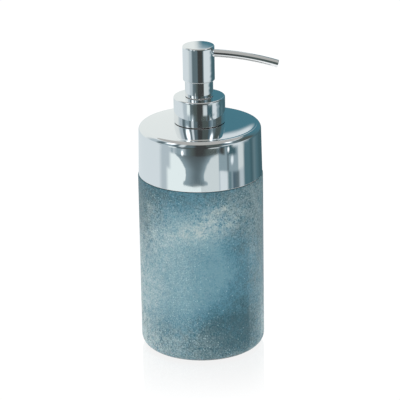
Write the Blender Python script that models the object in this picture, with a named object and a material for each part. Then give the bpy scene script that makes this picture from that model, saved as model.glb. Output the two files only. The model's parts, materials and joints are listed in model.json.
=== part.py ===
"""Soap pump dispenser: a tinted glass vessel, a plated shoulder cap and a screw-on lotion pump.

Every piece is turned about the vertical axis through the origin, except the spout and the spring.
The origin is the middle of the flat glass base, +Z is up and the spout points along +X.
All lengths are in metres and all heights are measured from the base.
"""
import math

import bmesh
import bpy
from mathutils import Vector

# Clearances
GAP = 0.0003                # between faces that touch or rest on each other
RUNNING_FIT = 0.00015       # radial, between pieces that slide or turn on each other
STOP_CLEARANCE = 0.0007     # left at the end of the pump's stroke

# Glass vessel
GLASS_RADIUS = 0.038
GLASS_HEIGHT = 0.1105       # base to the ledge that the cap stands over
GLASS_WALL = 0.005
GLASS_FLOOR = 0.007
GLASS_HEEL_ROUND = 0.006
GLASS_LEDGE_ROUND = 0.0008
GLASS_NECK_HEIGHT = 0.0155
GLASS_NECK_WALL = 0.004
GLASS_RIM_ROUND = 0.0008

# Plated shoulder cap and the liner that it is bonded to
CAP_INSET = 0.0004          # how much the foot of the cap stands inside the glass's outer face
CAP_DRAFT = 0.0006          # how much the wall leans in by the time it reaches the rounding
CAP_HEIGHT = 0.0306         # foot to the start of the crowned top
CAP_CROWN = 0.0017
CAP_WALL = 0.001
CAP_ROUND = 0.003
CAP_DECK_MARGIN = 0.001     # flat deck left showing round the collar
LINER_WALL = 0.0022
LINER_DISC = 0.0025
LINER_LIFT = 0.0007         # foot of the liner's skirt above the ledge
MOUTH_GASKET = 0.001

# Threaded bush in the middle of the cap, and its nut
THREAD_RADIUS = 0.0135      # outside the thread that the collar screws on
THREAD_FIT = 0.00035
THREADED_RISE = 0.0099      # neck above the cap's deck
BUSH_BORE = 0.0106
BUSH_TAIL_WALL = 0.0019
BUSH_FLANGE_REACH = 0.0045
BUSH_FLANGE = 0.002
BUSH_HOLE_FIT = 0.0004
NUT_THICKNESS = 0.0043
NUT_WALL = 0.0052
NUT_SLOTS = 4
NUT_SLOT_WIDTH = 0.003
NUT_SLOT_DEPTH = 0.002
TAIL_PROUD = 0.001          # bush tail below the nut

# Screw collar: a plated shell over a plastic closure
CLOSURE_WALL = 0.0009
CLOSURE_TOP = 0.0018
CLOSURE_LIFT = 0.0009       # foot of the closure above the deck
SHELL_WALL = 0.0005
SHELL_TOP = 0.0006
SHELL_ROUND = 0.0008

# Pump body
PUMP_GASKET = 0.0012
HOUSING_BORE = 0.0062
HOUSING_WALL = 0.0013
HOUSING_FLANGE = 0.0014
PLUG_DEPTH = 0.0078         # retainer inside the housing
POST_RISE = 0.0042          # retainer inside the sleeve
SLEEVE_RADIUS = 0.0085
SLEEVE_WALL = 0.0004
SLEEVE_FIT = 0.0002
SLEEVE_OVERLAP = 0.0029     # sleeve inside the released head
STROKE = 0.0095

# Stem, piston, spring and inlet valve
STEM_RADIUS = 0.004
STEM_BORE = 0.0022
VENT_ROOM = 0.0032          # retainer's plug to the foot of the released stem
VENT_RADIUS = 0.0008
PISTON_HEIGHT = 0.0065
PISTON_LIP = 0.0014
PISTON_WAIST = 0.0007       # how much the piston narrows between its lips
PISTON_FLOAT = 0.0012
PIN_RADIUS = 0.0026
PIN_BORE = 0.0011
PIN_FLANGE_RADIUS = 0.0046
PIN_FLANGE = 0.0015
PIN_REACH = 0.0062          # pin inside the stem
PIN_PORT_RADIUS = 0.0008
SPRING_LENGTH = 0.0217
SPRING_RADIUS = 0.0043      # to the middle of the wire
SPRING_WIRE = 0.00045
SPRING_TURNS = 6
BALL_RADIUS = 0.0024
BALL_ROOM = 0.0006          # radial, between the ball and its chamber
BALL_LIFT = 0.0015
SEAT_BORE = 0.0016
SEAT_LAND = 0.0015
BALL_SEAT_GAP = 0.0001
SOCKET_DEPTH = 0.012
SOCKET_WALL = 0.0015
DIP_TUBE_RADIUS = 0.0026
DIP_TUBE_BORE = 0.0017
DIP_TUBE_FLOAT = 0.003      # end of the tube above the glass floor

# Head and spout
HEAD_WALL = 0.0006
HEAD_TOP_WALL = 0.0008
HEAD_SLIDE_GAP = 0.0005
HEAD_ROUND = 0.0008
INSERT_FLOOR = 0.0012
INSERT_ROOF = 0.0007
BOSS_WALL = 0.0017
SOCKET_ROOF = 0.0007        # stem socket's end below the foot of the insert
FEED_RADIUS = 0.0017
SPOUT_RADIUS = 0.0023
SPOUT_BORE = 0.0017
SPOUT_FIT = 0.0003
SPOUT_REACH = 0.0474        # pump axis to the middle of the tip
SPOUT_START_DIP = math.radians(4.0)
SPOUT_TIP_DIP = math.radians(18.0)
SPOUT_ROOT = 0.003          # pump axis to the tube's inner end
SPOUT_BEND_STEPS = 10
CROSS_HOLE_BACK = 0.0025

# Facets round each piece
BODY_STEPS = 48
PUMP_STEPS = 32
TUBE_STEPS = 16

# Radii that follow
cap_foot_radius = GLASS_RADIUS - CAP_INSET
cap_top_radius = cap_foot_radius - CAP_DRAFT
liner_radius = cap_top_radius - CAP_WALL - GAP
neck_radius = liner_radius - LINER_WALL - GAP
glass_bore = GLASS_RADIUS - GLASS_WALL
mouth_radius = neck_radius - GLASS_NECK_WALL
tail_radius = BUSH_BORE + BUSH_TAIL_WALL
cap_hole_radius = THREAD_RADIUS + BUSH_HOLE_FIT
closure_bore = THREAD_RADIUS + THREAD_FIT
closure_radius = closure_bore + CLOSURE_WALL
shell_bore = closure_radius + GAP
collar_radius = shell_bore + SHELL_WALL
post_radius = SLEEVE_RADIUS - SLEEVE_WALL - SLEEVE_FIT
collar_hole_radius = post_radius + GAP
flange_radius = THREAD_RADIUS - GAP
stem_hole = STEM_RADIUS + RUNNING_FIT
head_bore = SLEEVE_RADIUS + HEAD_SLIDE_GAP
head_radius = head_bore + HEAD_WALL
boss_radius = stem_hole + BOSS_WALL
cross_hole_radius = SPOUT_RADIUS + SPOUT_FIT
tube_socket_radius = DIP_TUBE_RADIUS + GAP
chamber_radius = BALL_RADIUS + BALL_ROOM

# Heights that follow, from the glass upwards
neck_top = GLASS_HEIGHT + GLASS_NECK_HEIGHT
cap_foot = GLASS_HEIGHT + GAP
cap_rim = cap_foot + CAP_HEIGHT
deck = cap_rim + CAP_CROWN
mouth_gasket_foot = neck_top + GAP
liner_underside = mouth_gasket_foot + MOUTH_GASKET + GAP
liner_top = liner_underside + LINER_DISC
nut_top = liner_underside - GAP
nut_foot = nut_top - NUT_THICKNESS
thread_top = deck + THREADED_RISE
pump_gasket_foot = thread_top + GAP
flange_foot = pump_gasket_foot + PUMP_GASKET + GAP
flange_top = flange_foot + HOUSING_FLANGE
closure_underside = flange_top + GAP
closure_top = closure_underside + CLOSURE_TOP
collar_top = closure_top + GAP + SHELL_TOP
sleeve_foot = collar_top + GAP
post_top = sleeve_foot + POST_RISE
head_foot = collar_top + STOP_CLEARANCE + STROKE
sleeve_top = head_foot + SLEEVE_OVERLAP
insert_foot = sleeve_top + STROKE + STOP_CLEARANCE
spout_height = insert_foot + INSERT_FLOOR + cross_hole_radius
insert_top = spout_height + cross_hole_radius + INSERT_ROOF
head_top = insert_top + GAP + HEAD_TOP_WALL
boss_foot = post_top + STROKE + STOP_CLEARANCE
stem_socket_top = insert_foot - SOCKET_ROOF
stem_top = stem_socket_top - GAP

# Heights that follow, down through the pump
plug_foot = flange_foot - PLUG_DEPTH
stem_foot = plug_foot - VENT_ROOM
piston_top = stem_foot - GAP - PISTON_FLOAT
piston_foot = piston_top - PISTON_HEIGHT
pin_flange_top = piston_foot - GAP
pin_flange_foot = pin_flange_top - PIN_FLANGE
spring_top = pin_flange_foot - GAP
spring_foot = spring_top - SPRING_LENGTH
spring_ledge = spring_foot - GAP
seat_slope = chamber_radius - SEAT_BORE
ball_seat_room = math.sqrt(2.0) * (BALL_RADIUS + BALL_SEAT_GAP) - SEAT_BORE
ball_headroom = BALL_RADIUS + BALL_LIFT + GAP
seat_foot = spring_ledge - ball_headroom - ball_seat_room
ball_height = seat_foot + ball_seat_room
tube_stop = seat_foot - SEAT_LAND
socket_foot = tube_stop - SOCKET_DEPTH


def clear_scene():
    for item in list(bpy.data.objects):
        bpy.data.objects.remove(item, do_unlink=True)


def finish(name, colour, roughness, metallic=0.0):
    """A plain Principled material; colour is linear red, green and blue."""
    material = bpy.data.materials.new(name)
    material.use_nodes = True
    shader = material.node_tree.nodes["Principled BSDF"]
    shader.inputs["Base Color"].default_value = (*colour, 1.0)
    shader.inputs["Roughness"].default_value = roughness
    shader.inputs["Metallic"].default_value = metallic
    return material


def rounded(points, steps=3):
    """Replace each (radius, height, rounding) corner by an arc that is tangent to both its sides."""
    corners = [Vector(point[:2]) for point in points]
    outline = []
    for index, point in enumerate(points):
        corner = corners[index]
        if len(point) == 2:
            outline.append(corner)
            continue
        before = (corners[index - 1] - corner).normalized()
        after = (corners[(index + 1) % len(points)] - corner).normalized()
        half_angle = before.angle(after) / 2.0
        centre = corner + (before + after).normalized() * point[2] / math.sin(half_angle)
        start = corner + before * point[2] / math.tan(half_angle) - centre
        sweep = math.pi - 2.0 * half_angle
        turn = math.copysign(sweep, before.x * after.y - before.y * after.x)
        for step in range(steps + 1):
            angle = -turn * step / steps
            cosine, sine = math.cos(angle), math.sin(angle)
            outline.append(centre + Vector((start.x * cosine - start.y * sine,
                                            start.x * sine + start.y * cosine)))
    return outline


def node(name, mesh, material, parent):
    mesh.materials.append(material)
    mesh.shade_smooth()
    mesh.set_sharp_from_angle(angle=math.radians(30.0))
    piece = bpy.data.objects.new(name, mesh)
    bpy.context.collection.objects.link(piece)
    piece.parent = parent
    return piece


def mesh_from(bm, name):
    bmesh.ops.remove_doubles(bm, verts=bm.verts[:], dist=1e-7)
    bmesh.ops.recalc_face_normals(bm, faces=bm.faces[:])
    mesh = bpy.data.meshes.new(name)
    bm.to_mesh(mesh)
    bm.free()
    return mesh


def turned(name, points, material, parent, steps=PUMP_STEPS, round_steps=3):
    """Spin an outline of (radius, height) points about Z; it stays open where it ends on the axis."""
    outline = rounded(points, round_steps)
    bm = bmesh.new()
    verts = [bm.verts.new((point.x, 0.0, point.y)) for point in outline]
    edges = [bm.edges.new(pair) for pair in zip(verts, verts[1:])]
    if outline[0].x > 0.0:
        edges.append(bm.edges.new((verts[-1], verts[0])))
    bmesh.ops.spin(bm, geom=verts + edges, cent=(0, 0, 0), axis=(0, 0, 1), dvec=(0, 0, 0),
                   angle=math.tau, steps=steps, use_merge=True)
    return node(name, mesh_from(bm, name), material, parent)


def ring(name, bore, radius, foot, top, material, parent, steps=PUMP_STEPS):
    points = [(radius, top), (radius, foot), (bore, foot), (bore, top)]
    return turned(name, points, material, parent, steps)


def hide_cutter(cutter):
    cutter.hide_render = True
    cutter.display_type = "WIRE"
    return cutter


def rod_cutter(name, radius, start, end):
    """A round cutter from one point to another."""
    start, end = Vector(start), Vector(end)
    bm = bmesh.new()
    bmesh.ops.create_cone(bm, cap_ends=True, segments=TUBE_STEPS, radius1=radius, radius2=radius,
                          depth=(end - start).length)
    mesh = bpy.data.meshes.new(name)
    bm.to_mesh(mesh)
    bm.free()
    cutter = bpy.data.objects.new(name, mesh)
    cutter.rotation_euler = (end - start).to_track_quat("Z", "Y").to_euler()
    cutter.location = (start + end) / 2.0
    bpy.context.collection.objects.link(cutter)
    return hide_cutter(cutter)


def box_cutter(name, size, location, turn):
    bm = bmesh.new()
    bmesh.ops.create_cube(bm, size=1.0)
    bmesh.ops.scale(bm, vec=size, verts=bm.verts[:])
    mesh = bpy.data.meshes.new(name)
    bm.to_mesh(mesh)
    bm.free()
    cutter = bpy.data.objects.new(name, mesh)
    cutter.rotation_euler = (0.0, 0.0, turn)
    cutter.location = location
    bpy.context.collection.objects.link(cutter)
    return hide_cutter(cutter)


def cut(piece, cutter):
    modifier = piece.modifiers.new(cutter.name, "BOOLEAN")
    modifier.operation = "DIFFERENCE"
    modifier.solver = "EXACT"
    modifier.object = cutter


def axis_empty(name, parent=None):
    """An empty on the vertical axis that carries the pieces of one moving body."""
    empty = bpy.data.objects.new(name, None)
    empty.empty_display_size = 0.01
    empty.parent = parent
    bpy.context.collection.objects.link(empty)
    return empty


def make_vessel(glass, plate, plastic, rubber):
    """The glass and everything that stays on it when the pump is unscrewed."""
    vessel = axis_empty("vessel_axis")
    wall_top = GLASS_HEIGHT - GLASS_WALL - GLASS_NECK_WALL / 2.0
    turned("glass_vessel", [
        (0.0, 0.0),
        (GLASS_RADIUS, 0.0, GLASS_HEEL_ROUND),
        (GLASS_RADIUS, GLASS_HEIGHT, GLASS_LEDGE_ROUND),
        (neck_radius, GLASS_HEIGHT),
        (neck_radius, neck_top, GLASS_RIM_ROUND),
        (mouth_radius, neck_top, GLASS_RIM_ROUND),
        (mouth_radius, GLASS_HEIGHT),
        (glass_bore, wall_top),
        (glass_bore, GLASS_FLOOR, GLASS_HEEL_ROUND),
        (0.0, GLASS_FLOOR),
    ], glass, vessel, BODY_STEPS)
    ring("mouth_gasket", mouth_radius + GAP, neck_radius - GAP,
         mouth_gasket_foot, mouth_gasket_foot + MOUTH_GASKET, rubber, vessel, BODY_STEPS)
    turned("cap_liner", [
        (liner_radius, liner_top),
        (liner_radius, GLASS_HEIGHT + LINER_LIFT),
        (neck_radius + GAP, GLASS_HEIGHT + LINER_LIFT),
        (neck_radius + GAP, liner_underside),
        (tail_radius + GAP, liner_underside),
        (tail_radius + GAP, liner_top),
    ], plastic, vessel, BODY_STEPS)
    turned("shoulder_cap", cap_outline(), plate, vessel, BODY_STEPS, round_steps=4)
    turned("neck_bush", [
        (THREAD_RADIUS, thread_top),
        (THREAD_RADIUS, liner_top + GAP + BUSH_FLANGE),
        (THREAD_RADIUS + BUSH_FLANGE_REACH, liner_top + GAP + BUSH_FLANGE),
        (THREAD_RADIUS + BUSH_FLANGE_REACH, liner_top + GAP),
        (tail_radius, liner_top + GAP),
        (tail_radius, nut_foot - TAIL_PROUD),
        (BUSH_BORE, nut_foot - TAIL_PROUD),
        (BUSH_BORE, thread_top),
    ], plastic, vessel)
    nut_radius = tail_radius + GAP + NUT_WALL
    nut = ring("neck_nut", tail_radius + GAP, nut_radius, nut_foot, nut_top, plastic, vessel)
    for index in range(NUT_SLOTS):
        turn = (index + 0.5) * math.tau / NUT_SLOTS
        place = (nut_radius * math.cos(turn), nut_radius * math.sin(turn), (nut_foot + nut_top) / 2.0)
        size = (NUT_SLOT_DEPTH * 2.0, NUT_SLOT_WIDTH, NUT_THICKNESS * 1.5)
        cut(nut, box_cutter(f"nut_slot_{index + 1}", size, place, turn))
    return vessel


def cap_outline():
    """The cap's section: outside from the deck hole down to the foot, then back up the inside."""
    deck_edge = collar_radius + CAP_DECK_MARGIN
    crown_edge = cap_top_radius - CAP_ROUND
    crown_steps = 4
    crown = []
    for step in range(crown_steps + 1):
        share = step / crown_steps
        radius = deck_edge + (crown_edge - deck_edge) * share
        crown.append((radius, cap_rim + CAP_CROWN * (1.0 - share * share)))
    outside = [(cap_hole_radius, deck)] + crown[:-1]
    outside.append((cap_top_radius, cap_rim, CAP_ROUND))
    outside.append((cap_foot_radius, cap_foot))
    inside = [(cap_foot_radius - CAP_WALL, cap_foot)]
    inside.append((cap_top_radius - CAP_WALL, cap_rim - CAP_WALL, CAP_ROUND - CAP_WALL))
    inside += [(radius, height - CAP_WALL) for radius, height in reversed(crown[:-1])]
    inside.append((cap_hole_radius, deck - CAP_WALL))
    return outside + inside


def make_collar(plate, plastic, pump):
    """The screw collar that holds the pump down on the bush."""
    collar = axis_empty("collar_turn_axis", pump)
    turned("collar_closure", [
        (closure_radius, closure_top),
        (closure_radius, deck + CLOSURE_LIFT),
        (closure_bore, deck + CLOSURE_LIFT),
        (closure_bore, closure_underside),
        (collar_hole_radius, closure_underside),
        (collar_hole_radius, closure_top),
    ], plastic, collar)
    turned("collar_shell", [
        (collar_radius, collar_top, SHELL_ROUND),
        (collar_radius, deck + GAP),
        (shell_bore, deck + GAP),
        (shell_bore, collar_top - SHELL_TOP),
        (collar_hole_radius, collar_top - SHELL_TOP),
        (collar_hole_radius, collar_top),
    ], plate, collar, BODY_STEPS)


def make_pump_body(plate, plastic, rubber, clear, gasket, pump):
    """The gasket, the barrel with its inlet valve seat, the guide and the dip tube."""
    ring("pump_gasket", HOUSING_BORE + HOUSING_WALL + GAP, flange_radius,
         pump_gasket_foot, pump_gasket_foot + PUMP_GASKET, rubber, gasket)
    housing_radius = HOUSING_BORE + HOUSING_WALL
    socket_radius = tube_socket_radius + SOCKET_WALL
    housing = turned("pump_housing", [
        (flange_radius, flange_top),
        (flange_radius, flange_foot),
        (housing_radius, flange_foot),
        (housing_radius, spring_ledge - HOUSING_WALL),
        (socket_radius, tube_stop),
        (socket_radius, socket_foot),
        (tube_socket_radius, socket_foot),
        (tube_socket_radius, tube_stop),
        (SEAT_BORE, tube_stop),
        (SEAT_BORE, seat_foot),
        (chamber_radius, seat_foot + seat_slope),
        (chamber_radius, spring_ledge),
        (HOUSING_BORE, spring_ledge),
        (HOUSING_BORE, flange_top),
    ], plastic, pump)
    vent_height = stem_foot + VENT_ROOM / 2.0
    cut(housing, rod_cutter("vent_hole", VENT_RADIUS, (0.0, 0.0, vent_height),
                            (0.0, housing_radius * 2.0, vent_height)))
    plug_radius = HOUSING_BORE - GAP
    turned("housing_retainer", [
        (post_radius, post_top),
        (post_radius, closure_underside),
        (plug_radius, closure_underside),
        (plug_radius, plug_foot),
        (stem_hole, plug_foot),
        (stem_hole, post_top),
    ], plastic, pump)
    ring("guide_sleeve", SLEEVE_RADIUS - SLEEVE_WALL, SLEEVE_RADIUS, sleeve_foot, sleeve_top,
         plate, pump, BODY_STEPS)
    ring("dip_tube", DIP_TUBE_BORE, DIP_TUBE_RADIUS, GLASS_FLOOR + DIP_TUBE_FLOAT, tube_stop - GAP,
         clear, pump, TUBE_STEPS)


def make_spring(steel, pump):
    """A compression spring with its first and last turns wound close."""
    steps_per_turn = 14
    close_rise = 2.4 * SPRING_WIRE
    open_rise = (SPRING_LENGTH - 2.0 * SPRING_WIRE - 2.0 * close_rise) / (SPRING_TURNS - 2)
    curve = bpy.data.curves.new("return_spring", "CURVE")
    curve.dimensions = "3D"
    curve.bevel_depth = SPRING_WIRE
    curve.bevel_resolution = 1
    curve.use_fill_caps = True
    spline = curve.splines.new("POLY")
    count = SPRING_TURNS * steps_per_turn
    spline.points.add(count)
    for index in range(count + 1):
        turn = index / steps_per_turn
        rise = close_rise * min(turn, 1.0)
        rise += open_rise * min(max(turn - 1.0, 0.0), SPRING_TURNS - 2)
        rise += close_rise * max(turn - (SPRING_TURNS - 1), 0.0)
        angle = turn * math.tau
        spline.points[index].co = (SPRING_RADIUS * math.cos(angle), SPRING_RADIUS * math.sin(angle),
                                   spring_foot + SPRING_WIRE + rise, 1.0)
    curve.materials.append(steel)
    spring = bpy.data.objects.new("return_spring", curve)
    spring.parent = pump
    bpy.context.collection.objects.link(spring)


def make_ball(steel, parent):
    mesh = bpy.data.meshes.new("check_ball")
    bm = bmesh.new()
    bmesh.ops.create_uvsphere(bm, u_segments=16, v_segments=10, radius=BALL_RADIUS)
    bmesh.ops.translate(bm, vec=(0.0, 0.0, ball_height), verts=bm.verts[:])
    bm.to_mesh(mesh)
    bm.free()
    node("check_ball", mesh, steel, parent)


def make_plunger(plastic, clear, stem, piston):
    """The stem with the pin pressed into its foot, and the piston that floats on the pin."""
    ring("stem", STEM_BORE, STEM_RADIUS, stem_foot, stem_top, plastic, stem)
    shank_radius = STEM_BORE - GAP
    pin = turned("valve_pin", [
        (shank_radius, stem_foot + PIN_REACH),
        (shank_radius, stem_foot - GAP),
        (PIN_RADIUS, stem_foot - GAP),
        (PIN_RADIUS, pin_flange_top),
        (PIN_FLANGE_RADIUS, pin_flange_top),
        (PIN_FLANGE_RADIUS, pin_flange_foot),
        (0.0, pin_flange_foot),
    ][::-1] + [
        (PIN_BORE, stem_foot + PIN_REACH),
        (PIN_BORE, pin_flange_top),
        (0.0, pin_flange_top),
    ], clear, stem)
    port_height = piston_foot + PISTON_LIP + PIN_PORT_RADIUS
    cut(pin, rod_cutter("pin_port", PIN_PORT_RADIUS, (-PIN_RADIUS * 2.0, 0.0, port_height),
                        (PIN_RADIUS * 2.0, 0.0, port_height)))
    lip_radius = HOUSING_BORE - RUNNING_FIT
    waist_radius = lip_radius - PISTON_WAIST
    turned("piston", [
        (lip_radius, piston_top),
        (lip_radius, piston_top - PISTON_LIP),
        (waist_radius, piston_top - PISTON_LIP - PISTON_WAIST),
        (waist_radius, piston_foot + PISTON_LIP + PISTON_WAIST),
        (lip_radius, piston_foot + PISTON_LIP),
        (lip_radius, piston_foot),
        (PIN_RADIUS + RUNNING_FIT, piston_foot),
        (PIN_RADIUS + RUNNING_FIT, piston_top),
    ], plastic, piston)


def spout_point(reach):
    """A point on the straight root of the spout, at a distance from the pump axis."""
    return Vector((reach, 0.0, spout_height - reach * math.tan(SPOUT_START_DIP)))


def make_spout(plate, head):
    """A plain tube: straight inside the head, then one circular bend down to the tip."""
    along = Vector((math.cos(SPOUT_START_DIP), 0.0, -math.sin(SPOUT_START_DIP)))
    across = Vector((math.sin(SPOUT_START_DIP), 0.0, math.cos(SPOUT_START_DIP)))
    bend_radius = (SPOUT_REACH - head_radius) / (math.sin(SPOUT_TIP_DIP) - math.sin(SPOUT_START_DIP))
    root = spout_point(SPOUT_ROOT)
    bend_start = spout_point(head_radius)
    bend_centre = bend_start - across * bend_radius
    bm = bmesh.new()
    edges = []
    for radius in (SPOUT_RADIUS, SPOUT_BORE):
        verts = []
        for step in range(TUBE_STEPS):
            angle = step * math.tau / TUBE_STEPS
            side = Vector((0.0, math.sin(angle), 0.0)) + across * math.cos(angle)
            verts.append(bm.verts.new(root + side * radius))
        edges += [bm.edges.new((vert, verts[index - 1])) for index, vert in enumerate(verts)]
    bmesh.ops.bridge_loops(bm, edges=edges)
    straight = bmesh.ops.extrude_edge_only(bm, edges=edges)["geom"]
    bmesh.ops.translate(bm, vec=bend_start - root,
                        verts=[item for item in straight if isinstance(item, bmesh.types.BMVert)])
    swept = bmesh.ops.spin(bm, geom=[item for item in straight if isinstance(item, bmesh.types.BMEdge)
                                     and item.verts[0] in straight and item.verts[1] in straight],
                           cent=bend_centre, axis=(0, 1, 0), dvec=(0, 0, 0),
                           angle=SPOUT_TIP_DIP - SPOUT_START_DIP, steps=SPOUT_BEND_STEPS)["geom_last"]
    bmesh.ops.bridge_loops(bm, edges=[item for item in swept if isinstance(item, bmesh.types.BMEdge)])
    node("spout_tube", mesh_from(bm, "spout_tube"), plate, head)


def make_head(plate, plastic, head):
    """The push head: a plated shell over the insert that joins the stem to the spout."""
    roof = insert_top + GAP
    shell = turned("head_shell", [
        (0.0, head_top),
        (head_radius, head_top, HEAD_ROUND),
        (head_radius, head_foot),
        (head_bore, head_foot),
        (head_bore, roof),
        (0.0, roof),
    ], plate, head, BODY_STEPS)
    insert = turned("head_insert", [
        (0.0, insert_top),
        (head_bore - GAP, insert_top),
        (head_bore - GAP, insert_foot),
        (boss_radius, insert_foot),
        (boss_radius, boss_foot),
        (stem_hole, boss_foot),
        (stem_hole, stem_socket_top),
        (FEED_RADIUS, stem_socket_top),
        (FEED_RADIUS, spout_height),
        (0.0, spout_height),
    ], plastic, head)
    cut(insert, rod_cutter("cross_hole", cross_hole_radius, spout_point(-CROSS_HOLE_BACK),
                           spout_point(head_radius * 1.5)))
    cut(shell, rod_cutter("spout_hole", cross_hole_radius, spout_point(head_radius * 0.5),
                          spout_point(head_radius * 1.5)))
    make_spout(plate, head)


def main():
    clear_scene()
    glass = finish("tinted_glass", (0.10, 0.27, 0.35), 0.35)
    plate = finish("polished_chrome", (0.80, 0.82, 0.83), 0.06, 1.0)
    plastic = finish("white_plastic", (0.78, 0.78, 0.76), 0.45)
    clear = finish("natural_plastic", (0.70, 0.74, 0.74), 0.30)
    rubber = finish("silicone_seal", (0.55, 0.56, 0.56), 0.60)
    steel = finish("bright_steel", (0.60, 0.61, 0.62), 0.22, 1.0)

    vessel = make_vessel(glass, plate, plastic, rubber)
    gasket = axis_empty("pump_lift_axis", vessel)
    pump = axis_empty("pump_unscrew_axis", gasket)
    make_collar(plate, plastic, pump)
    make_pump_body(plate, plastic, rubber, clear, gasket, pump)
    make_spring(steel, pump)
    make_ball(steel, axis_empty("ball_lift_axis", pump))
    stem = axis_empty("head_press_axis", pump)
    make_plunger(plastic, clear, stem, axis_empty("piston_float_axis", stem))
    make_head(plate, plastic, axis_empty("head_swivel_axis", stem))


main()
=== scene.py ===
import json
import math

import bpy
import numpy as np
from mathutils import Matrix, Vector


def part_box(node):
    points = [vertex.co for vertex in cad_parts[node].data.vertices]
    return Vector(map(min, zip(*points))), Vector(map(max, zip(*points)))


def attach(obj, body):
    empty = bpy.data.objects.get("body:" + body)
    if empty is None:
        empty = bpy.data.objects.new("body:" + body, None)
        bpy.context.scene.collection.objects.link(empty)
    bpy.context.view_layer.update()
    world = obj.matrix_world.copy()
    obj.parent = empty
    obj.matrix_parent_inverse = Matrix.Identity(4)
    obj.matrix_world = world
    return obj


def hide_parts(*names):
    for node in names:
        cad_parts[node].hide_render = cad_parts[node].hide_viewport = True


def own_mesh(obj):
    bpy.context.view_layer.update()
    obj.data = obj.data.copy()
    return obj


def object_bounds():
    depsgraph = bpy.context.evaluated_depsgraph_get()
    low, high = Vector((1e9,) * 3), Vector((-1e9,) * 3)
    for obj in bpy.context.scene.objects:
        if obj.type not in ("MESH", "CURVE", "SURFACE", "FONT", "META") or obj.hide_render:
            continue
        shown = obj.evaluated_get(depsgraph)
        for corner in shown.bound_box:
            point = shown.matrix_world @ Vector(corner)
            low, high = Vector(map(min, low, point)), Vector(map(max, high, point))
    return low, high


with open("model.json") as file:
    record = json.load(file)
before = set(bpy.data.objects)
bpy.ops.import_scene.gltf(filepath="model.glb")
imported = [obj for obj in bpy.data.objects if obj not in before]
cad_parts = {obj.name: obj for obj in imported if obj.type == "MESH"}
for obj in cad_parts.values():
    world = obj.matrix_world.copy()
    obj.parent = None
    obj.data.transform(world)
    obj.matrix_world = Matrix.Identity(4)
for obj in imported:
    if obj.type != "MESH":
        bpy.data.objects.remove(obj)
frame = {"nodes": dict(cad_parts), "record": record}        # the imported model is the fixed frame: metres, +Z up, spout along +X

cadLow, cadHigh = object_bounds()
gap = 0.0003             # air that the frame leaves between neighbouring pieces


# Rounds an outline: every corner (radius, height, rounding) becomes a circular arc tangent to both its
# sides. The arc blends the two tangent points by the sine of the angle still to go over the sine of the
# whole sweep, and one short flat step on each side of it keeps reflections straight on the walls.
def roundedOutline(corners, arcSteps=10):
    spots = np.array([corner[:2] for corner in corners], float)
    toBefore = np.roll(spots, 1, axis=0) - spots
    toAfter = np.roll(spots, -1, axis=0) - spots
    toBefore /= np.linalg.norm(toBefore, axis=1)[:, None]
    toAfter /= np.linalg.norm(toAfter, axis=1)[:, None]
    share = np.linspace(0.0, 1.0, arcSteps + 1)[:, None]
    stretches = []
    for spot, before, after, corner in zip(spots, toBefore, toAfter, corners):
        if len(corner) == 2:
            stretches.append(spot[None, :])
            continue
        rounding = corner[2]
        halfAngle = math.acos(np.clip(before @ after, -1.0, 1.0)) / 2.0
        sweep = math.pi - 2.0 * halfAngle
        bisector = (before + after) / np.linalg.norm(before + after)
        centre = spot + bisector * rounding / math.sin(halfAngle)
        start = spot + before * rounding / math.tan(halfAngle) - centre
        end = spot + after * rounding / math.tan(halfAngle) - centre
        arc = (np.sin((1.0 - share) * sweep) * start + np.sin(share * sweep) * end) / math.sin(sweep)
        step = rounding * 0.3
        ends = centre + start + before * step, centre + end + after * step
        stretches += [ends[0][None, :], centre + arc, ends[1][None, :]]
    return np.vstack(stretches)


# Rings of points, closed in a loop or between two poles: row i, column j joins row i + 1 and column j + 1.
def gridFaces(rows, columns, closedRows, firstPole, lastPole):
    row = np.arange(rows if closedRows else rows - 1)[:, None]
    column = np.arange(columns)[None, :]
    nextRow = (row + 1) % rows
    nextColumn = (column + 1) % columns
    quads = np.stack([row * columns + column, row * columns + nextColumn,
                      nextRow * columns + nextColumn, nextRow * columns + column], -1).reshape(-1, 4).tolist()
    column, nextColumn = column[0], nextColumn[0]
    if firstPole is not None:
        quads += np.stack([np.full(columns, firstPole), nextColumn, column], -1).tolist()
    if lastPole is not None:
        top = (rows - 1) * columns
        quads += np.stack([top + column, top + nextColumn, np.full(columns, lastPole)], -1).tolist()
    return quads


def meshFrom(name, points, faces):
    mesh = bpy.data.meshes.new(name)
    mesh.from_pydata(points.tolist(), [], faces)
    mesh.validate()
    mesh.update()
    return mesh


# Turns an outline of (radius, height) about the vertical axis: x is radius times the sine of the turn,
# y is minus radius times its cosine. An outline that starts and ends on the axis closes in two poles.
def turnedMesh(name, outline, segments):
    following = np.roll(outline, -1, axis=0)
    area = np.sum(outline[:, 0] * following[:, 1] - following[:, 0] * outline[:, 1])
    if area < 0.0:
        outline = outline[::-1]
    onAxis = outline[:, 0] < 1e-7
    rings = outline[~onAxis]
    turn = np.arange(segments) * math.tau / segments
    grid = np.stack([rings[:, :1] * np.sin(turn), -rings[:, :1] * np.cos(turn),
                     np.repeat(rings[:, 1:], segments, axis=1)], -1).reshape(-1, 3)
    if not onAxis.any():
        return meshFrom(name, grid, gridFaces(len(rings), segments, True, None, None))
    poles = np.array([[0.0, 0.0, outline[0, 1]], [0.0, 0.0, outline[-1, 1]]])
    points = np.vstack([grid, poles])
    return meshFrom(name, points, gridFaces(len(rings), segments, False, len(grid), len(grid) + 1))


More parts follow.
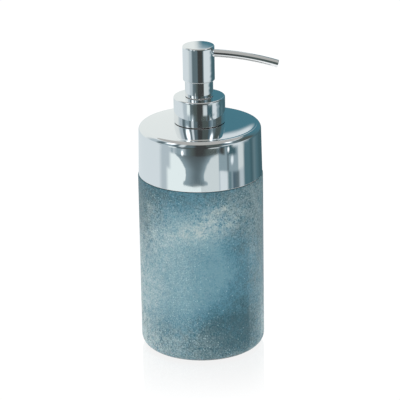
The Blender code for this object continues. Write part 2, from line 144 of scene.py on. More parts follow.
# Carries a ring of points along a path: each ring is the path's point plus side and lift vectors scaled
# by the section's own two columns. The rings close on themselves, or end in two poles on the path.
def sweptMesh(name, path, side, lift, section, closedRows=True):
    grid = path[:, None, :] + section[..., :1] * side[:, None, :] + section[..., 1:] * lift[:, None, :]
    rows, columns = grid.shape[:2]
    points = grid.reshape(-1, 3)
    if closedRows:
        return meshFrom(name, points, gridFaces(rows, columns, True, None, None))
    ends = np.vstack([points, path[:1], path[-1:]])
    return meshFrom(name, ends, gridFaces(rows, columns, False, len(points), len(points) + 1))


def pointsOf(mesh):
    points = np.empty(len(mesh.vertices) * 3, np.float32)
    mesh.vertices.foreach_get("co", points)
    return points.reshape(-1, 3)


def finishedPiece(name, mesh, body, node, slotName, sharpAngle=35.0):
    mesh.materials.append(finishes[slotName])
    mesh.shade_smooth()
    mesh.set_sharp_from_angle(angle=math.radians(sharpAngle))
    piece = bpy.data.objects.new(name, mesh)
    bpy.context.collection.objects.link(piece)
    weighted = piece.modifiers.new("evenShading", "WEIGHTED_NORMAL")
    weighted.keep_sharp = True
    weighted.weight = 100
    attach(piece, body)
    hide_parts(node)
    return piece


# Each input takes a plain value, or the socket that it is fed from.
def setInputs(tree, node, inputs):
    for key, value in inputs.items():
        if isinstance(value, bpy.types.NodeSocket):
            tree.links.new(value, node.inputs[key])
        else:
            node.inputs[key].default_value = value


def addNode(tree, kind, inputs=None, **settings):
    node = tree.nodes.new(kind)
    for key, value in settings.items():
        setattr(node, key, value)
    setInputs(tree, node, inputs or {})
    return node


# A group's inputs are numbers with their usual value, or vectors where that is None; it puts out numbers.
def newGroup(name, inputs, outputs):
    group = bpy.data.node_groups.new(name, "ShaderNodeTree")
    for socketName, usual in inputs.items():
        kind = "NodeSocketVector" if usual is None else "NodeSocketFloat"
        socket = group.interface.new_socket(name=socketName, in_out="INPUT", socket_type=kind)
        if usual is not None:
            socket.default_value = usual
    for socketName in outputs:
        group.interface.new_socket(name=socketName, in_out="OUTPUT", socket_type="NodeSocketFloat")
    return group, addNode(group, "NodeGroupInput").outputs, addNode(group, "NodeGroupOutput")


def newMaterial(name):
    material = bpy.data.materials.new(name)
    material.use_nodes = True
    tree = material.node_tree
    return material, tree, addNode(tree, "ShaderNodeTexCoord").outputs["Object"]


# Leaves the principled shader out and puts another one on the surface.
def setSurface(tree, shader):
    tree.nodes.remove(tree.nodes["Principled BSDF"])
    setInputs(tree, tree.nodes["Material Output"], {"Surface": shader.outputs[0]})


# A Math node on sockets or plain numbers.
def workOut(tree, operation, *terms, clamp=False):
    node = addNode(tree, "ShaderNodeMath", dict(enumerate(terms)), operation=operation, use_clamp=clamp)
    return node.outputs[0]


# A Map Range node: the value's stretch from low to high becomes toLow to toHigh.
def stretchValue(tree, value, low, high, toLow=0.0, toHigh=1.0, curve="LINEAR"):
    inputs = {"Value": value, "From Min": low, "From Max": high, "To Min": toLow, "To Max": toHigh}
    return addNode(tree, "ShaderNodeMapRange", inputs, interpolation_type=curve).outputs["Result"]


def noiseAt(tree, vector, scale, detail, roughness):
    inputs = {"Vector": vector, "Scale": scale, "Detail": detail, "Roughness": roughness}
    return addNode(tree, "ShaderNodeTexNoise", inputs).outputs["Fac"]


def bumpFrom(tree, height, strength=1.0):
    inputs = {"Height": height, "Strength": strength, "Distance": 1.0}
    return addNode(tree, "ShaderNodeBump", inputs).outputs["Normal"]


# A Color Ramp node: stops are (place, tone), in order.
def toneRamp(tree, value, stops):
    node = addNode(tree, "ShaderNodeValToRGB", {"Fac": value})
    elements = node.color_ramp.elements
    for element, (place, tone) in zip(elements, (stops[0], stops[-1])):
        element.position, element.color = place, tone
    for place, tone in stops[1:-1]:
        elements.new(place).color = tone
    return node.outputs["Color"]


# Lays a plain colour over another by a mask.
def layColour(tree, under, mask, colour):
    mix = addNode(tree, "ShaderNodeMix", data_type="RGBA")
    base, top = [socket for socket in mix.inputs if socket.type == "RGBA"]
    top.default_value = colour
    tree.links.new(under, base)
    tree.links.new(mask, mix.inputs["Factor"])
    return next(socket for socket in mix.outputs if socket.type == "RGBA")


# Round specks scattered in cells: a cell shows one when its random number falls under Amount, and the
# speck fades out between two fifths of its size and its size from the cell's own point.
def makeSpeckGroup():
    group, start, end = newGroup(
        "scatteredSpecks", {"Vector": None, "Scale": 400.0, "Size": 0.3, "Amount": 0.3}, ["Mask"])
    cells = addNode(group, "ShaderNodeTexVoronoi", {"Vector": start["Vector"], "Scale": start["Scale"]},
                    feature="F1").outputs
    parts = addNode(group, "ShaderNodeSeparateColor", {"Color": cells["Color"]}).outputs
    core = workOut(group, "MULTIPLY", start["Size"], 0.4)
    speck = stretchValue(group, cells["Distance"], core, start["Size"], 1.0, 0.0, "SMOOTHSTEP")
    shown = workOut(group, "LESS_THAN", parts["Red"], start["Amount"])
    bright = stretchValue(group, parts["Green"], 0.0, 1.0, 0.35, 1.0)
    mask = workOut(group, "MULTIPLY", workOut(group, "MULTIPLY", speck, shown), bright)
    setInputs(group, end, {"Mask": mask})
    return group


# Slow waves and fine grain as one height in metres, for the faint unevenness of plated and moulded
# surfaces: each noise times its own depth.
def makeRippleGroup():
    group, start, end = newGroup(
        "surfaceRipple", {"Vector": None, "Wave Scale": 90.0, "Wave Depth": 0.00001, "Grain Scale": 2500.0,
                          "Grain Depth": 0.0}, ["Height", "Grain"])
    wave = noiseAt(group, start["Vector"], start["Wave Scale"], 1.0, 0.4)
    grain = noiseAt(group, start["Vector"], start["Grain Scale"], 3.0, 0.6)
    grainHeight = workOut(group, "MULTIPLY", grain, start["Grain Depth"])
    height = workOut(group, "MULTIPLY_ADD", wave, start["Wave Depth"], grainHeight)
    setInputs(group, end, {"Height": height, "Grain": grain})
    return group


speckGroup = makeSpeckGroup()
rippleGroup = makeRippleGroup()
print("shader groups ready")


chromeFinish = {
    "tint": (0.86, 0.875, 0.885, 1.0),
    "roughnessLow": 0.025,
    "roughnessHigh": 0.07,
    "waveScale": 110.0,
    "waveDepth": 0.000016,
    "hazeScale": 38.0,
}


# Bright plating: a mirror with a faintly uneven skin, and thin patches of handling haze in its roughness.
def makeChrome(name, values):
    material, tree, place = newMaterial(name)
    ripple = addNode(tree, "ShaderNodeGroup", node_tree=rippleGroup)
    setInputs(tree, ripple, {"Vector": place, "Wave Scale": values["waveScale"],
                             "Wave Depth": values["waveDepth"]})
    haze = noiseAt(tree, place, values["hazeScale"], 5.0, 0.62)
    setInputs(tree, tree.nodes["Principled BSDF"], {
        "Metallic": 1.0, "Base Color": values["tint"], "Normal": bumpFrom(tree, ripple.outputs["Height"]),
        "Roughness": stretchValue(tree, haze, 0.45, 0.75, values["roughnessLow"], values["roughnessHigh"])})
    return material


glassFinish = {
    "body": (0.128, 0.276, 0.336, 1.0), "saturated": (0.060, 0.190, 0.255, 1.0),
    "deep": (0.018, 0.083, 0.110, 1.0), "mistAndSheen": (0.400, 0.510, 0.525, 1.0), "wisp": (0.440, 0.520, 0.500, 1.0),
    # the foot line's colour is a painted contact shade along the foot
    "speck": (0.470, 0.640, 0.670, 1.0), "footShadeLine": (0.150, 0.140, 0.135, 1.0),
    "roughness": 0.50, "specular": 0.30,
    "cloudScale": 60.0, "mottleScale": 260.0, "grainScale": 1150.0,
    "cloudDepth": 0.30, "mottleDepth": 0.36, "grainDepth": 0.46,
    "bubbles": [(900.0, 0.40), (1700.0, 0.46)],  # coarse, then fine: scale and size
    "pitHeight": 0.00005, "grainHeight": 0.00004,
}


# Satin glass: a clear blue body that goes from bright to deep with the depth attribute, veiled by a grainy
# white mist, crossed by pale wisps and dotted with small trapped bubbles and pits. At the left and right
# edges the mist is partly a painted sheen, and a thin painted contact shade runs along the foot.
def makeGlass(name, values):
    material, tree, place = newMaterial(name)
    masks = {key: addNode(tree, "ShaderNodeAttribute", attribute_name=key).outputs["Fac"]
             for key in ("mistAndSheen", "depth", "specks", "wisp", "footShadeLine")}
    cloud = stretchValue(tree, noiseAt(tree, place, values["cloudScale"], 5.0, 0.60), 0.30, 0.70, -0.5, 0.5)
    mottle = stretchValue(tree, noiseAt(tree, place, values["mottleScale"], 4.0, 0.62), 0.32, 0.68, -0.5, 0.5)
    grain = stretchValue(tree, noiseAt(tree, place, values["grainScale"], 2.0, 0.60), 0.30, 0.70, -0.5, 0.5)
    unevenness = workOut(tree, "MULTIPLY_ADD", cloud, values["cloudDepth"],
                         workOut(tree, "MULTIPLY", mottle, values["mottleDepth"]))
    drift = workOut(tree, "MULTIPLY_ADD", grain, -values["grainDepth"], unevenness)
    depth = workOut(tree, "ADD", masks["depth"], drift, clamp=True)
    colour = toneRamp(tree, depth, [(0.0, values["body"]), (0.45, values["saturated"]), (1.0, values["deep"])])
    patchy = workOut(tree, "MULTIPLY_ADD", mottle, 1.1, workOut(tree, "MULTIPLY_ADD", grain, 1.7, 1.0))
    mistAndSheen = workOut(tree, "MULTIPLY", workOut(tree, "ADD", masks["mistAndSheen"], 0.03), patchy, clamp=True)
    broken = workOut(tree, "MULTIPLY_ADD", mottle, 1.8, workOut(tree, "MULTIPLY_ADD", grain, 1.6, 0.85))
    wisp = workOut(tree, "MULTIPLY", masks["wisp"], broken, clamp=True)
    bubbles = []
    for scale, size in values["bubbles"]:
        node = addNode(tree, "ShaderNodeGroup", node_tree=speckGroup)
        setInputs(tree, node, {"Vector": place, "Scale": scale, "Size": size, "Amount": masks["specks"]})
        bubbles.append(node.outputs["Mask"])
    coarse, fine = bubbles
    speck = workOut(tree, "MULTIPLY_ADD", fine, 0.45, workOut(tree, "MULTIPLY", coarse, 0.62), clamp=True)
    for mask, tone in ((mistAndSheen, "mistAndSheen"), (wisp, "wisp"), (speck, "speck"), (masks["footShadeLine"], "footShadeLine")):
        colour = layColour(tree, colour, mask, values[tone])
    pits = workOut(tree, "MULTIPLY_ADD", coarse, values["pitHeight"],
                   workOut(tree, "MULTIPLY", grain, values["grainHeight"]))
    roughness = values["roughness"]
    setInputs(tree, tree.nodes["Principled BSDF"], {
        "IOR": 1.5, "Specular IOR Level": values["specular"], "Subsurface Weight": 0.10,
        "Subsurface Scale": 0.003, "Base Color": colour, "Normal": bumpFrom(tree, pits, 0.5),
        "Roughness": stretchValue(tree, cloud, -0.5, 0.5, roughness - 0.06, roughness + 0.08)})
    return material


# Moulded plastic and rubber: a fine spark-eroded grain, and a slight drift of colour between two tones.
def makeMoulded(name, values):
    material, tree, place = newMaterial(name)
    ripple = addNode(tree, "ShaderNodeGroup", node_tree=rippleGroup)
    setInputs(tree, ripple, {"Vector": place, "Wave Scale": 160.0, "Wave Depth": values["waveDepth"],
                             "Grain Scale": values["grainScale"], "Grain Depth": values["grainDepth"]})
    drift = noiseAt(tree, place, values["driftScale"], 4.0, 0.55)
    grain, roughness = ripple.outputs["Grain"], values["roughness"]
    setInputs(tree, tree.nodes["Principled BSDF"], {
        **values["sockets"], "Normal": bumpFrom(tree, ripple.outputs["Height"]),
        "Base Color": toneRamp(tree, drift, [(0.35, values["tone"]), (0.65, values["otherTone"])]),
        "Roughness": stretchValue(tree, grain, 0.35, 0.65, roughness - 0.05, roughness + 0.06)})
    return material


whitePlasticFinish = {
    "sockets": {"IOR": 1.49, "Subsurface Weight": 0.12, "Subsurface Scale": 0.001},
    "tone": (0.74, 0.74, 0.72, 1.0), "otherTone": (0.80, 0.80, 0.785, 1.0), "roughness": 0.42,
    "driftScale": 90.0, "grainScale": 5200.0, "grainDepth": 0.000006, "waveDepth": 0.000004}
naturalPlasticFinish = {
    "sockets": {"IOR": 1.51, "Transmission Weight": 0.55},
    "tone": (0.82, 0.86, 0.86, 1.0), "otherTone": (0.88, 0.91, 0.90, 1.0), "roughness": 0.30,
    "driftScale": 120.0, "grainScale": 3600.0, "grainDepth": 0.000004, "waveDepth": 0.000005}
siliconeFinish = {
    "sockets": {"IOR": 1.43, "Subsurface Weight": 0.2, "Subsurface Scale": 0.0008},
    "tone": (0.50, 0.51, 0.51, 1.0), "otherTone": (0.58, 0.59, 0.585, 1.0), "roughness": 0.58,
    "driftScale": 150.0, "grainScale": 4200.0, "grainDepth": 0.000008, "waveDepth": 0.000004}
steelFinish = {"tone": (0.56, 0.57, 0.58, 1.0), "otherTone": (0.68, 0.69, 0.70, 1.0), "roughness": 0.20,
               "lineScale": 5200.0, "lineStretch": (0.08, 1.0, 1.0)}


# Drawn and ground steel: fine polishing lines, which brighten and dull it slightly.
def makeSteel(name, values):
    material, tree, place = newMaterial(name)
    drawn = addNode(tree, "ShaderNodeMapping", {"Vector": place, "Scale": values["lineStretch"]})
    lines = noiseAt(tree, drawn.outputs["Vector"], values["lineScale"], 3.0, 0.6)
    roughness = values["roughness"]
    setInputs(tree, tree.nodes["Principled BSDF"], {
        "Base Color": toneRamp(tree, lines, [(0.0, values["tone"]), (1.0, values["otherTone"])]),
        "Metallic": 1.0, "Roughness": stretchValue(tree, lines, 0.0, 1.0, roughness - 0.08, roughness + 0.10)})
    return material


finishes = {
    "polished_chrome": makeChrome("polishedChrome", chromeFinish),
    "tinted_glass": makeGlass("speckledGlass", glassFinish),
    "white_plastic": makeMoulded("whitePlastic", whitePlasticFinish),
    "natural_plastic": makeMoulded("naturalPlastic", naturalPlasticFinish),
    "silicone_seal": makeMoulded("siliconeSeal", siliconeFinish),
    "bright_steel": makeSteel("brightSteel", steelFinish),
}
print("finishes ready")


glassShape = {
    "wall": 0.005, "floor": 0.007, "heelRound": 0.006, "ledgeRound": 0.0008, "rimRound": 0.0012,
    "neckWall": 0.004, "puntRadius": 0.028, "puntRise": 0.0006, "puntSide": 0.003, "puntRound": 0.004,
    "segments": 240, "wallRows": 130,
    "footShadeLine": 0.0006, "footLineHalf": 0.0017,
}

# Patches in the glass: azimuth from the front towards the spout and height, in degrees and millimetres,
# how far each spreads both ways, how much it adds or takes away, and how it leans if it does.
glassPatches = {
    # the mist patches near ±80 degrees, at the left and right edges, are a painted sheen that lightens the edges;
    # the rest is the glass's own frosting
    "mistAndSheen": [(-83, 40, 20, 34, 0.72), (-78, 6, 20, 9, 0.45), (-50, 41, 9, 11, 0.28), (-46, 78, 14, 17, 0.28, 0.1),
             (-14, 84, 22, 8, 0.22, 0.15), (12, 91, 18, 8, 0.32, 0.1), (-26, 58, 16, 24, 0.16),
             (-38, 8, 26, 8, 0.30), (-4, 14, 22, 8, 0.08), (60, 86, 10, 13, 0.14), (84, 14, 12, 12, 0.55),
             (34, 3, 20, 3, 0.16), (84, 56, 18, 50, 0.26), (48, 86, 12, 14, 0.10), (28, 105, 18, 7, 0.12, 0.1),
             (60, 106, 14, 7, 0.12)],
    "depth": [(-72, 94, 20, 20, 0.42), (64, 98, 26, 18, 0.38), (12, 106, 30, 6, 0.15), (-46, 108, 20, 5, 0.20),
              (26, 15, 22, 12, 0.75, 0.1), (-8, 8, 26, 8, 0.27), (80, 66, 13, 46, 0.20), (-60, 84, 14, 12, 0.18),
              (-34, 62, 10, 40, 0.12), (-76, 12, 14, 10, 0.40), (80, 98, 11, 15, 0.20), (-60, 74, 8, 9, 0.14),
              (-20, 72, 22, 19, -0.75), (-38, 44, 22, 15, -0.60), (4, 60, 14, 14, -0.35), (17, 59, 9, 12, -0.25),
              (-66, 36, 12, 14, -0.20)],
    "specks": [(-22, 58, 9, 9, 0.80, 0.2), (-18, 40, 6, 12, 0.65), (-37, 42, 6, 9, 0.60, 0.2),
               (-36, 74, 8, 9, 0.42), (-14, 78, 12, 7, 0.34), (-16, 14, 22, 9, 0.50), (-30, 50, 24, 44, 0.16),
               (-60, 35, 22, 40, 0.10), (-58, 96, 12, 8, 0.22), (-16, 5, 38, 4, 0.40)],
    "wisp": [(16, 98.6, 9, 1.2, 0.44, 0.34), (22, 89.4, 8, 1.2, 0.44, -0.34), (34, 91.5, 3.5, 1.6, 0.38, 0.3),
             (-12, 85, 5, 2.8, 0.28), (-1, 84.5, 4, 2.4, 0.28), (1, 91, 10, 1.4, 0.30, 0.4),
             (-55, 96, 5, 2.0, 0.30), (-20, 83, 9, 1.6, 0.16, 0.2), (10, 86, 10, 2.6, 0.16),
             (30, 96, 12, 2.2, 0.14, -0.2)],
}
patchGround = {"mistAndSheen": 0.0, "depth": 0.57, "specks": 0.012, "wisp": 0.0}
# The patches come back on the far side, turned by this much, but not those past the side angle.
patchBack = {"turn": 176.0, "side": 70.0, "arcPerDegree": 0.66}

# Upright edges in the glass: azimuth, how fast it turns over, the heights between which it runs, and how
# much lies on the side away from the front.
# the mist edge beyond 48 degrees paints the side towards the spout lighter: a painted sheen
glassEdges = {"depth": [(-10, 1.0, 30, 72, -0.16)], "mistAndSheen": [(48, 1.0, -10, 78, 0.10)]}
edgeFade = {"across": 30.0, "ends": 8.0}


# Each patch is a bell curve: the exponential of minus half the squared distances across and up, each over
# its own spread, with the height sheared by the lean times the arc in millimetres.
def paintPatches(azimuth, height, patches, ground, tall):
    total = np.full_like(azimuth, ground)
    for turn, upright in ((0.0, True), (patchBack["turn"], False)):
        for middle, level, across, up, amount, *lean in patches:
            if not upright and abs(middle) > patchBack["side"]:
                continue
            away = (azimuth - middle - turn + 180.0) % 360.0 - 180.0
            shear = sum(lean) * away * patchBack["arcPerDegree"]
            rise = height * 1000.0 - (level if upright else tall * 1000.0 - level) - shear
            total += amount * np.exp(-0.5 * ((away / across) ** 2 + (rise / up) ** 2))
    return total


# Beyond an upright edge the amount sets in over its softness and fades on the way across, and it fades in
# and out at its lower and upper ends.
def paintEdges(azimuth, height, edges):
    total = np.zeros_like(azimuth)
    level = height * 1000.0
    for middle, soft, low, high, amount in edges:
        beyond = (azimuth - middle) * np.sign(middle)
        across = np.clip(beyond / soft + 0.5, 0.0, 1.0) * np.clip(1.0 - beyond / edgeFade["across"], 0.0, 1.0)
        ends = np.clip(np.stack([level - low, high - level]) / edgeFade["ends"], 0.0, 1.0).prod(axis=0)
        total += amount * across * ends
    return total


def makeGlassVessel(values):
    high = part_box("glass_vessel")[1]
    radius, neckTop = high.x, high.z
    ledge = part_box("shoulder_cap")[0].z - gap
    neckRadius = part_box("mouth_gasket")[1].x + gap
    bore = radius - values["wall"]
    mouth = neckRadius - values["neckWall"]
    punt, rise = values["puntRadius"], values["puntRise"]
    outside = roundedOutline([
        (0.0, rise), (punt, rise, values["puntRound"]),
        (punt + values["puntSide"], 0.0, values["puntRound"] / 2.0),
        (radius, 0.0, values["heelRound"]),
        (radius, ledge, values["ledgeRound"]), (neckRadius, ledge), (neckRadius, neckTop, values["rimRound"]),
        (mouth, neckTop, values["rimRound"]), (mouth, ledge),
        (bore, ledge - values["wall"] - values["neckWall"] / 2.0),
        (bore, values["floor"], values["heelRound"]), (0.0, values["floor"]),
    ], arcSteps=12)
    wallStart = np.flatnonzero((outside[:, 0] > radius - 1e-6) & (outside[:, 1] < ledge / 2.0))[-1]
    rows = np.linspace(outside[wallStart, 1], outside[wallStart + 1, 1], values["wallRows"] + 2)[1:-1]
    wall = np.stack([np.full(len(rows), radius), rows], -1)
    outline = np.vstack([outside[:wallStart + 1], wall, outside[wallStart + 1:]])
    mesh = turnedMesh("glassVessel", outline, values["segments"])
    places = pointsOf(mesh)
    azimuth = np.degrees(np.arctan2(places[:, 0], -places[:, 1]))
    height = places[:, 2]
    layers = {key: paintPatches(azimuth, height, patches, patchGround[key], ledge)
              + paintEdges(azimuth, height, glassEdges.get(key, [])) for key, patches in glassPatches.items()}
    # a painted contact shade, with a little edge tint: a thin darker line where the wall turns under
    layers["footShadeLine"] = 1.0 - np.abs(height - values["footShadeLine"]) / values["footLineHalf"]
    for key, amount in layers.items():
        layer = mesh.attributes.new(key, "FLOAT", "POINT")
        layer.data.foreach_set("value", np.clip(amount, 0.0, 1.0).astype(np.float32))
    return finishedPiece("glassVessel", mesh, "vessel", "glass_vessel", "tinted_glass")


glassVessel = makeGlassVessel(glassShape)
print("glass vessel:", len(glassVessel.data.vertices), "vertices")

capShape = {
    "wall": 0.001, "rimRound": 0.003, "crownRise": 0.0017, "draft": 0.0006, "footRound": 0.0003,
    "deckMargin": 0.001, "bushFlange": 0.0045, "holeFit": 0.0004, "holeRound": 0.0003, "crownSteps": 24,
    "segments": 240,
}


# The crowned top falls with the square of the way from the deck's edge to the rounding; below that is
# the drafted wall, and the inside follows it one wall thickness in.
def makeShoulderCap(values):
    low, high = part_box("shoulder_cap")
    footRadius, foot, deck = high.x, low.z, high.z
    wall = values["wall"]
    topRadius = footRadius - values["draft"]
    rim = deck - values["crownRise"]
    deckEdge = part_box("collar_shell")[1].x + values["deckMargin"]
    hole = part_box("neck_bush")[1].x - values["bushFlange"] + values["holeFit"]
    share = np.linspace(0.0, 1.0, values["crownSteps"] + 1)[:, None]
    crownEdge = topRadius - values["rimRound"]
    crown = np.hstack([deckEdge + (crownEdge - deckEdge) * share,
                       rim + values["crownRise"] * (1.0 - share ** 2)])[:-1]
    outer = roundedOutline([
        (hole, deck, values["holeRound"]), tuple(crown[0]), tuple(crown[-1]),
        (topRadius, rim, values["rimRound"]),
        (footRadius, foot, values["footRound"]), (footRadius - wall, foot, values["footRound"]),
        (topRadius - wall, rim - wall, values["rimRound"] - wall), tuple(crown[-1] - (0.0, wall)),
        tuple(crown[0] - (0.0, wall)), (hole, deck - wall),
    ])
    first = np.flatnonzero(np.all(np.isclose(outer, crown[0]), axis=1))[0]
    last = np.flatnonzero(np.all(np.isclose(outer, crown[0] - (0.0, wall)), axis=1))[0]
    outline = np.vstack([outer[:first + 1], crown[1:-1], outer[first + 1:last],
                         crown[::-1][1:-1] - (0.0, wall), outer[last:]])
    mesh = turnedMesh("shoulderCap", outline, values["segments"])
    return finishedPiece("shoulderCap", mesh, "vessel", "shoulder_cap", "polished_chrome")


shoulderCap = makeShoulderCap(capShape)
print("shoulder cap made")

neckShape = {
    "flangeReach": 0.0045, "flange": 0.002, "bore": 0.0106, "tailWall": 0.0019, "edgeRound": 0.0003,
    "pitch": 0.004233, "ridgeDepth": 0.0007, "crest": 0.16, "flank": 0.13, "runIn": 0.0012,
    "wallRows": 110, "segments": 180,
}


# The screw neck: a turned bush whose outer wall carries one right-handed ridge. The ridge's height at a
# point follows the fraction of a pitch left over from its height less its turn, and runs out at both ends.
def makeNeckBush(values):
    low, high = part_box("neck_bush")
    crestRadius = high.x - values["flangeReach"]
    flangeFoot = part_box("cap_liner")[1].z + gap
    flangeTop = flangeFoot + values["flange"]
    tail = values["bore"] + values["tailWall"]
    rows = np.linspace(flangeTop, high.z - values["edgeRound"] * 2.0, values["wallRows"])
    bore, edge = values["bore"], values["edgeRound"]
    rim = roundedOutline([
        (crestRadius - values["ridgeDepth"], high.z, edge), (bore, high.z, edge), (bore, low.z, edge),
        (tail, low.z, edge), (tail, flangeFoot), (high.x, flangeFoot, edge), (high.x, flangeTop, edge),
        (crestRadius, flangeTop)], arcSteps=5)
    outline = np.vstack([rim, np.stack([np.full(len(rows) - 1, crestRadius), rows[1:]], -1)])
    mesh = turnedMesh("neckBush", outline, values["segments"])
    places = pointsOf(mesh)
    radius = np.hypot(places[:, 0], places[:, 1])
    turn = np.arctan2(places[:, 0], -places[:, 1])
    phase = (places[:, 2] / values["pitch"] - turn / math.tau) % 1.0
    ridge = np.clip((values["crest"] + values["flank"] - np.abs(phase - 0.5)) / values["flank"], 0.0, 1.0)
    runOut = np.clip(np.minimum(places[:, 2] - rows[0], rows[-1] - places[:, 2]) / values["runIn"], 0.0, 1.0)
    onWall = (np.abs(radius - crestRadius) < 1e-5) & (places[:, 2] > rows[0] - 1e-6)
    cut = values["ridgeDepth"] * (1.0 - ridge ** 2 * (3.0 - 2.0 * ridge) * runOut) * onWall
    places[:, :2] *= (1.0 - cut / radius)[:, None]
    mesh.vertices.foreach_set("co", places.ravel())
    mesh.update()
    return finishedPiece("neckBush", mesh, "vessel", "neck_bush", "white_plastic", 50.0)


neckBush = makeNeckBush(neckShape)
print("screw neck made")

collarShape = {"wall": 0.0005, "topWall": 0.0006, "topRound": 0.0008, "footRound": 0.00035,
               "holeRadius": 0.0082, "holeRound": 0.0002, "segments": 192}
sleeveShape = {"wall": 0.0004, "edgeRound": 0.00028, "arcSteps": 6, "segments": 144}
headShape = {"wall": 0.0006, "topWall": 0.0008, "topRound": 0.0008, "footRound": 0.0004, "segments": 192}


def plateShell(name, corners, values, body, node):
    outline = roundedOutline(corners, values.get("arcSteps", 10))
    return finishedPiece(name, turnedMesh(name, outline, values["segments"]), body, node, "polished_chrome")


def makeCollarShell(values):
    low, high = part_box("collar_shell")
    bore, roof = high.x - values["wall"], high.z - values["topWall"]
    return plateShell("collarShell", [
        (high.x, low.z, values["footRound"]), (high.x, high.z, values["topRound"]),
        (values["holeRadius"], high.z, values["holeRound"]), (values["holeRadius"], roof),
        (bore, roof), (bore, low.z),
    ], values, "collar", "collar_shell")


def makeGuideSleeve(values):
    low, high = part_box("guide_sleeve")
    bore = high.x - values["wall"]
    return plateShell("guideSleeve", [
        (high.x, low.z, values["edgeRound"]), (high.x, high.z, values["edgeRound"]),
        (bore, high.z), (bore, low.z),
    ], values, "pump", "guide_sleeve")


def makeHeadShell(values):
    low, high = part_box("head_shell")
    bore, roof = high.y - values["wall"], high.z - values["topWall"]
    return plateShell("headShell", [
        (0.0, high.z), (high.y * 0.5, high.z), (high.y, high.z, values["topRound"]),
        (high.y, low.z, values["footRound"]), (bore, low.z), (bore, roof), (0.0, roof),
    ], values, "head", "head_shell")


collarShell = makeCollarShell(collarShape)
guideSleeve = makeGuideSleeve(sleeveShape)
headShell = makeHeadShell(headShape)
print("plated shells made")

spoutShape = {
    "wall": 0.0006, "rootReach": 0.003, "startDip": math.radians(4.0),
    "tipDip": math.radians(18.0), "reach": 0.0474, "lipRound": 0.00022,
    "around": 48, "bendSteps": 60, "straightSteps": 4, "lipSteps": 6,
}


# A tube on a straight root and one circular bend. Along the bend the dip grows evenly from its start to
# its tip value, and the path is the bend's centre plus its radius times the unit vector square to the dip.
def makeSpout(values):
    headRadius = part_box("head_shell")[1].y
    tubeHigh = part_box("spout_tube")[1]
    outer = tubeHigh.y
    startDip, tipDip = values["startDip"], values["tipDip"]
    slope = math.tan(startDip)
    axisHeight = tubeHigh.z - outer * math.cos(startDip) + values["rootReach"] * slope
    dips = np.linspace(startDip, tipDip, values["bendSteps"] + 1)
    bendRadius = (values["reach"] - headRadius) / (math.sin(tipDip) - math.sin(startDip))
    reach = np.linspace(values["rootReach"], headRadius, values["straightSteps"] + 1)[:-1]
    root = np.stack([reach, np.zeros_like(reach), axisHeight - reach * slope], -1)
    bendStart = np.array([headRadius, 0.0, axisHeight - headRadius * slope])
    centre = bendStart - bendRadius * np.array([math.sin(startDip), 0.0, math.cos(startDip)])
    bend = centre + bendRadius * np.stack([np.sin(dips), np.zeros_like(dips), np.cos(dips)], -1)
    path = np.vstack([root, bend])
    pathDips = np.concatenate([np.full(len(root), startDip), dips])
    along = np.stack([np.cos(pathDips), np.zeros_like(pathDips), -np.sin(pathDips)], -1)
    lift = np.stack([np.sin(pathDips), np.zeros_like(pathDips), np.cos(pathDips)], -1)
    # the section's radius runs out along the outside, turns over the rounded lip and comes back inside
    lipRound = values["lipRound"]
    lip = np.linspace(0.0, math.pi / 2.0, values["lipSteps"] + 1)
    inner = outer - values["wall"]
    lipPush = np.concatenate([lipRound * np.sin(lip), lipRound * np.sin(lip[::-1])]) - lipRound
    lipRadius = np.concatenate([outer - lipRound + lipRound * np.cos(lip),
                                inner + lipRound - lipRound * np.cos(lip[::-1])])
    tip = np.repeat(path[-1:], len(lipPush), axis=0) + lipPush[:, None] * along[-1:]
    rings = np.vstack([path[:-1], tip, path[:-1][::-1]])
    radii = np.concatenate([np.full(len(path) - 1, outer), lipRadius, np.full(len(path) - 1, inner)])
    lifts = np.vstack([lift[:-1], np.repeat(lift[-1:], len(lipPush), axis=0), lift[:-1][::-1]])
    sides = np.tile((0.0, -1.0, 0.0), (len(rings), 1))
    turn = np.arange(values["around"]) * math.tau / values["around"]
    section = radii[:, None, None] * np.stack([np.sin(turn), np.cos(turn)], -1)[None]
    mesh = sweptMesh("spoutTube", rings, sides, lifts, section)
    return finishedPiece("spoutTube", mesh, "head", "spout_tube", "polished_chrome")


spoutTube = makeSpout(spoutShape)
print("spout made")

springShape = {"wire": 0.00045, "turns": 6, "closeRise": 0.00108, "stroke": 0.0095, "stepsPerTurn": 48,
               "around": 14}


# A compression spring: x and y go round once a turn, and the height grows slowly over the first and last
# turns and evenly between them.
def makeReturnSpring(values):
    low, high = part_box("return_spring")
    wire, turns = values["wire"], values["turns"]
    coil = high.x - wire
    openRise = (high.z - low.z - 2.0 * wire - 2.0 * values["closeRise"]) / (turns - 2)
    count = np.linspace(0.0, turns, turns * values["stepsPerTurn"] + 1)
    rise = values["closeRise"] * (np.minimum(count, 1.0) + np.maximum(count - (turns - 1), 0.0)) \
        + openRise * np.clip(count - 1.0, 0.0, turns - 2)
    turn = math.tau * count
    path = np.stack([coil * np.cos(turn), coil * np.sin(turn), low.z + wire + rise], -1)
    along = np.gradient(path, axis=0)
    along /= np.linalg.norm(along, axis=1)[:, None]
    side = np.stack([np.cos(turn), np.sin(turn), np.zeros_like(turn)], -1)
    lift = np.cross(side, along)
    lift /= np.linalg.norm(lift, axis=1)[:, None]
    ring = np.arange(values["around"]) * math.tau / values["around"]
    section = np.tile(wire * np.stack([np.cos(ring), -np.sin(ring)], -1), (len(path), 1, 1))
    mesh = sweptMesh("returnSpring", path, side, lift, section, closedRows=False)
    spring = finishedPiece("returnSpring", mesh, "pump", "return_spring", "bright_steel", 60.0)
    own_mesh(spring)
    return spring


returnSpring = makeReturnSpring(springShape)
print("spring made")


def dressFrameNodes():
    for entry in frame["record"]["subparts"]:
        node = frame["nodes"][entry["node"]]
        for slot in node.material_slots:
            slot.material = finishes[entry["material_slot"]]


dressFrameNodes()
print("frame nodes dressed")

floorValues = {"size": 6.0, "white": 1.04, "polish": 0.18, "polishNear": 0.038, "polishFar": 0.105}


